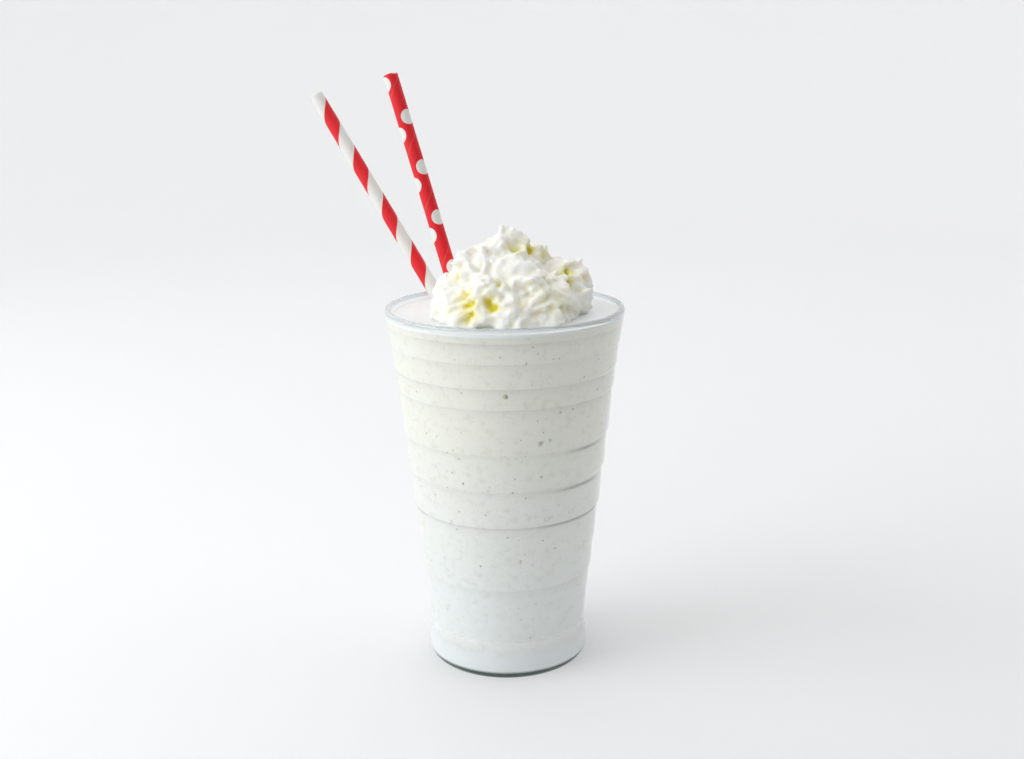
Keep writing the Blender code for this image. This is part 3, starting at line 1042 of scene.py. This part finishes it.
def cream_lumps(bm, hollows):
    """Round curds and thin torn flakes, half sunk in the dollop, clear of the hollows and the calm zones."""
    rng = np.random.default_rng(7)
    spots = [vert.co.copy() for vert in bm.verts if vert.co.z > LUMP_LOW]
    for index in rng.choice(len(spots), CURDS + FLAKES, replace=False):
        spot = spots[index]
        out = (spot - CREAM_HEART).normalized()
        is_curd = rng.random() < CURDS / (CURDS + FLAKES)
        low, high = CURD_RADII if is_curd else FLAKE_RADII
        radius = low + (high - low) * rng.random() ** 2
        tip = Vector(rng.normal(size=3))
        shape = CURD_SHAPE if is_curd else FLAKE_SHAPE
        stretch = (1.0, *(rng.uniform(*span) for span in shape))
        turn = (tip if is_curd else out + tip * FLAKE_TILT).to_track_quat("X", "Z")
        sink = CURD_SINK if is_curd else FLAKE_SINK
        clear = all(np.linalg.norm(np.array(spot) - place) > size + radius * LUMP_CLEARANCE
                    for place, size, _, _ in hollows)
        clear = clear and all((spot / MM - Vector(place)).length > size for place, size in CALM_ZONES)
        if clear and spot.z < LUMP_HIGH:
            add_ball(bm, spot - out * radius * sink, radius, stretch, turn)


def smoothed(points, edges, rounds):
    """Each point moved to the middle of its neighbours, a number of times."""
    count = np.bincount(edges.ravel(), minlength=len(points))[:, None]
    for _ in range(rounds):
        total = np.zeros_like(points)
        for axis in range(3):
            ends = np.concatenate([edges[:, 0], edges[:, 1]])
            values = np.concatenate([points[edges[:, 1], axis], points[edges[:, 0], axis]])
            total[:, axis] = np.bincount(ends, weights=values, minlength=len(points))
        points = total / np.maximum(count, 1)
    return points


def read_points(data, key, width, kind=np.float64):
    """A mesh property as an array with one row for each item."""
    values = np.empty(len(data) * width, dtype=kind)
    data.foreach_get(key, values)
    return values.reshape(-1, width)


def roughen_cream(mesh):
    """Adds fine crags along the normals, weaker in the calm zones."""
    points = read_points(mesh.vertices, "co", 3)
    normals = read_points(mesh.vertex_normals, "vector", 3)
    calm = np.zeros(len(points))
    for place, size in CALM_ZONES:
        away = np.linalg.norm(points / MM - np.array(place), axis=1) / size
        calm = np.maximum(calm, np.exp(-away ** 4))
    lift = np.zeros(len(points))
    for size, depth in FINE_CRAGS:
        seed = Vector((size, depth, 0)) * FINE_SEED
        crags = [FINE_CREST - FINE_SLOPE * abs(noise.noise(Vector(point) / size + seed)) for point in points]
        lift += depth * np.array(crags)
    lift *= 1 - CALM_SHARE * calm
    points += normals * lift[:, None]
    mesh.vertices.foreach_set("co", points.ravel())
    mesh.update()


def mark_cream(mesh, hollows):
    """Notes how deep in a crease each point lies, and how strong the painted yellow shade of its hollow is.
    """
    points = read_points(mesh.vertices, "co", 3)
    normals = read_points(mesh.vertex_normals, "vector", 3)
    edges = read_points(mesh.edges, "vertices", 2, np.int32)
    around = smoothed(points, edges, CREASE_ROUNDS)
    crease = np.clip(np.sum((around - points) * normals, axis=1) / CREASE_FULL, 0, 1)
    yellow = np.zeros(len(points))
    heart = np.array(CREAM_HEART)
    for place, radius, depth, share in hollows:
        inward = (heart - place) / np.linalg.norm(heart - place)
        middle = place + inward * depth * YELLOW_SINK
        away = np.linalg.norm(points - middle, axis=1) / (radius * YELLOW_SPREAD)
        yellow = np.maximum(yellow, share * np.exp(-away ** 2))
    mesh.attributes.new("crease", "FLOAT", "POINT").data.foreach_set("value", crease)
    mesh.attributes.new("hollow", "FLOAT", "POINT").data.foreach_set("value", yellow)


def cream_look():
    """Whipped cream: warm white, with painted yellow shade in its hollows and creases."""
    nodes = Nodes("whipped_cream")
    place = nodes.place()
    cloud = nodes.noise(place, 7 * MM, detail=3.0)
    colour = nodes.mix(cloud, CREAM_PALE, CREAM_WARM)
    # Painted shade: creases darker and warmer.
    crease = nodes.math("MULTIPLY", nodes.attribute("crease"), 0.6)
    colour = nodes.mix(crease, colour, CREAM_CREASE_SHADE)
    # Painted yellow shade, deepest in the sunken parts of the hollows.
    patchy = nodes.spread(nodes.noise(place, 1.6 * MM, detail=2.0), 0.45, 1.45)
    sunk = nodes.spread(nodes.attribute("crease"), 0.6, 1.8)
    yellow = nodes.math("MULTIPLY", nodes.attribute("hollow"), nodes.math("MULTIPLY", patchy, sunk))
    yellow = nodes.math("MINIMUM", yellow, 1.0)
    colour = nodes.mix(yellow, colour, CREAM_HOLLOW_SHADE)
    fine = nodes.noise(place, 0.45 * MM, detail=3.0, roughness=0.6)
    nodes.surface(Base_Color=colour, Roughness=nodes.spread(cloud, 0.45, 0.65), IOR=1.4,
                  Subsurface_Weight=0.6, Subsurface_Radius=(1.0, 0.9, 0.6), Subsurface_Scale=2.2 * MM,
                  Normal=nodes.bump(fine, 0.12 * MM, 0.5))
    return nodes.material


def make_cream():
    """The dollop with its lumps and ridges, joined into one skin, smoothed and roughened again."""
    hollows = all_hollows()
    bm = bmesh.new()
    cream_base(bm, hollows)
    cream_lumps(bm, hollows)
    cream_ridges(bm)
    mesh = bpy.data.meshes.new("whipped_cream_dollop")
    bm.to_mesh(mesh)
    bm.free()
    made = mesh_object("whipped_cream_dollop", mesh, cream_look())
    remesh = made.modifiers.new("join", "REMESH")
    remesh.mode = "VOXEL"
    remesh.voxel_size = CREAM_VOXEL
    mesh = evaluated_mesh(made)
    points = read_points(mesh.vertices, "co", 3)
    edges = read_points(mesh.edges, "vertices", 2, np.int32)
    mesh.vertices.foreach_set("co", smoothed(points, edges, CREAM_SMOOTHING).ravel())
    mesh.update()
    roughen_cream(mesh)
    mark_cream(mesh, hollows)
    mesh.transform(Matrix.Translation((0, 0, LEVEL)))
    mesh.shade_smooth()
    carry(made, "whipped_cream")


# Studio

def make_bowl():
    """A plain pale floor that curves up all round, so that no edge shows behind the glass."""
    profile = [(0.0, -FLOOR_DROP), (BOWL_FLOOR_RADIUS / 4, -FLOOR_DROP), (BOWL_FLOOR_RADIUS, -FLOOR_DROP)]
    middle = (BOWL_FLOOR_RADIUS, BOWL_CURVE - FLOOR_DROP)
    profile += arc(middle, (BOWL_CURVE, BOWL_CURVE), -pi / 2, 0.0, steps=24)[1:]
    profile += [(BOWL_FLOOR_RADIUS + BOWL_CURVE, BOWL_HEIGHT)]
    nodes = Nodes("pale_floor")
    cloud = nodes.noise(nodes.place(), 0.25, detail=2.0)
    tone = nodes.mix(cloud, FLOOR_COLOUR, tuple(channel * FLOOR_CLOUD for channel in FLOOR_COLOUR))
    nodes.surface(Base_Color=tone, Roughness=0.75)
    floor = mesh_object("floor", turned_mesh("floor", profile, BOWL_SEGMENTS), nodes.material)


def make_light():
    """Even light from all round, and one large soft lamp on the left."""
    world = bpy.data.worlds.new("soft_studio")
    bpy.context.scene.world = world
    world.use_nodes = True
    background = world.node_tree.nodes["Background"]
    background.inputs["Color"].default_value = (*WORLD_COLOUR, 1.0)
    background.inputs["Strength"].default_value = WORLD_STRENGTH

    lamp = bpy.data.lights.new("key", "AREA")
    lamp.shape = "SQUARE"
    lamp.size = KEY_SIZE
    lamp.energy = KEY_POWER
    lamp.color = KEY_COLOUR
    key = bpy.data.objects.new("key", lamp)
    key.location = KEY_PLACE
    key.rotation_euler = (AIM - Vector(KEY_PLACE)).to_track_quat("-Z", "Y").to_euler()
    key.visible_camera = False
    bpy.context.scene.collection.objects.link(key)


def make_flag():
    """A dark card at the front right, hidden from the camera, which shades that side."""
    bm = bmesh.new()
    wide, high = FLAG_SIZE
    sides = ((-0.5, -0.5), (0.5, -0.5), (0.5, 0.5), (-0.5, 0.5))
    corners = [(0, wide * across, high * up) for across, up in sides]
    bm.faces.new([bm.verts.new(corner) for corner in corners])
    mesh = bpy.data.meshes.new("flag")
    bm.to_mesh(mesh)
    bm.free()
    nodes = Nodes("dark_card")
    nodes.surface(Base_Color=FLAG_COLOUR, Roughness=0.9)
    flag = mesh_object("flag", mesh, nodes.material)
    flag.location = FLAG_PLACE
    flag.rotation_euler.z = float(np.arctan2(FLAG_PLACE[1], FLAG_PLACE[0]))
    flag.visible_camera = False


def make_camera():
    data = bpy.data.cameras.new("camera")
    data.lens = CAMERA_LENS
    data.sensor_width = CAMERA_SENSOR
    camera = bpy.data.objects.new("camera", data)
    tilt = Matrix.Rotation(pi / 2 - radians(CAMERA_DOWN), 4, "X")
    roll = Matrix.Rotation(-radians(CAMERA_ROLL), 4, "Z")
    camera.matrix_world = Matrix.Translation(CAMERA_PLACE) @ tilt @ roll
    bpy.context.scene.collection.objects.link(camera)
    bpy.context.scene.camera = camera
    bpy.context.scene.view_settings.view_transform = "Standard"


make_camera()
make_bowl()
make_light()
make_flag()
make_glass()
make_drink()
make_specks()
make_bubbles()
make_straw("straw_striped", STRIPED_RIM_POINT, STRIPED_TOP, stripe_pattern, STRIPE_RED, "striped_paper")
make_straw("straw_dotted", DOTTED_RIM_POINT, DOTTED_TOP, dot_pattern, DOT_RED, "dotted_paper")
make_cream()
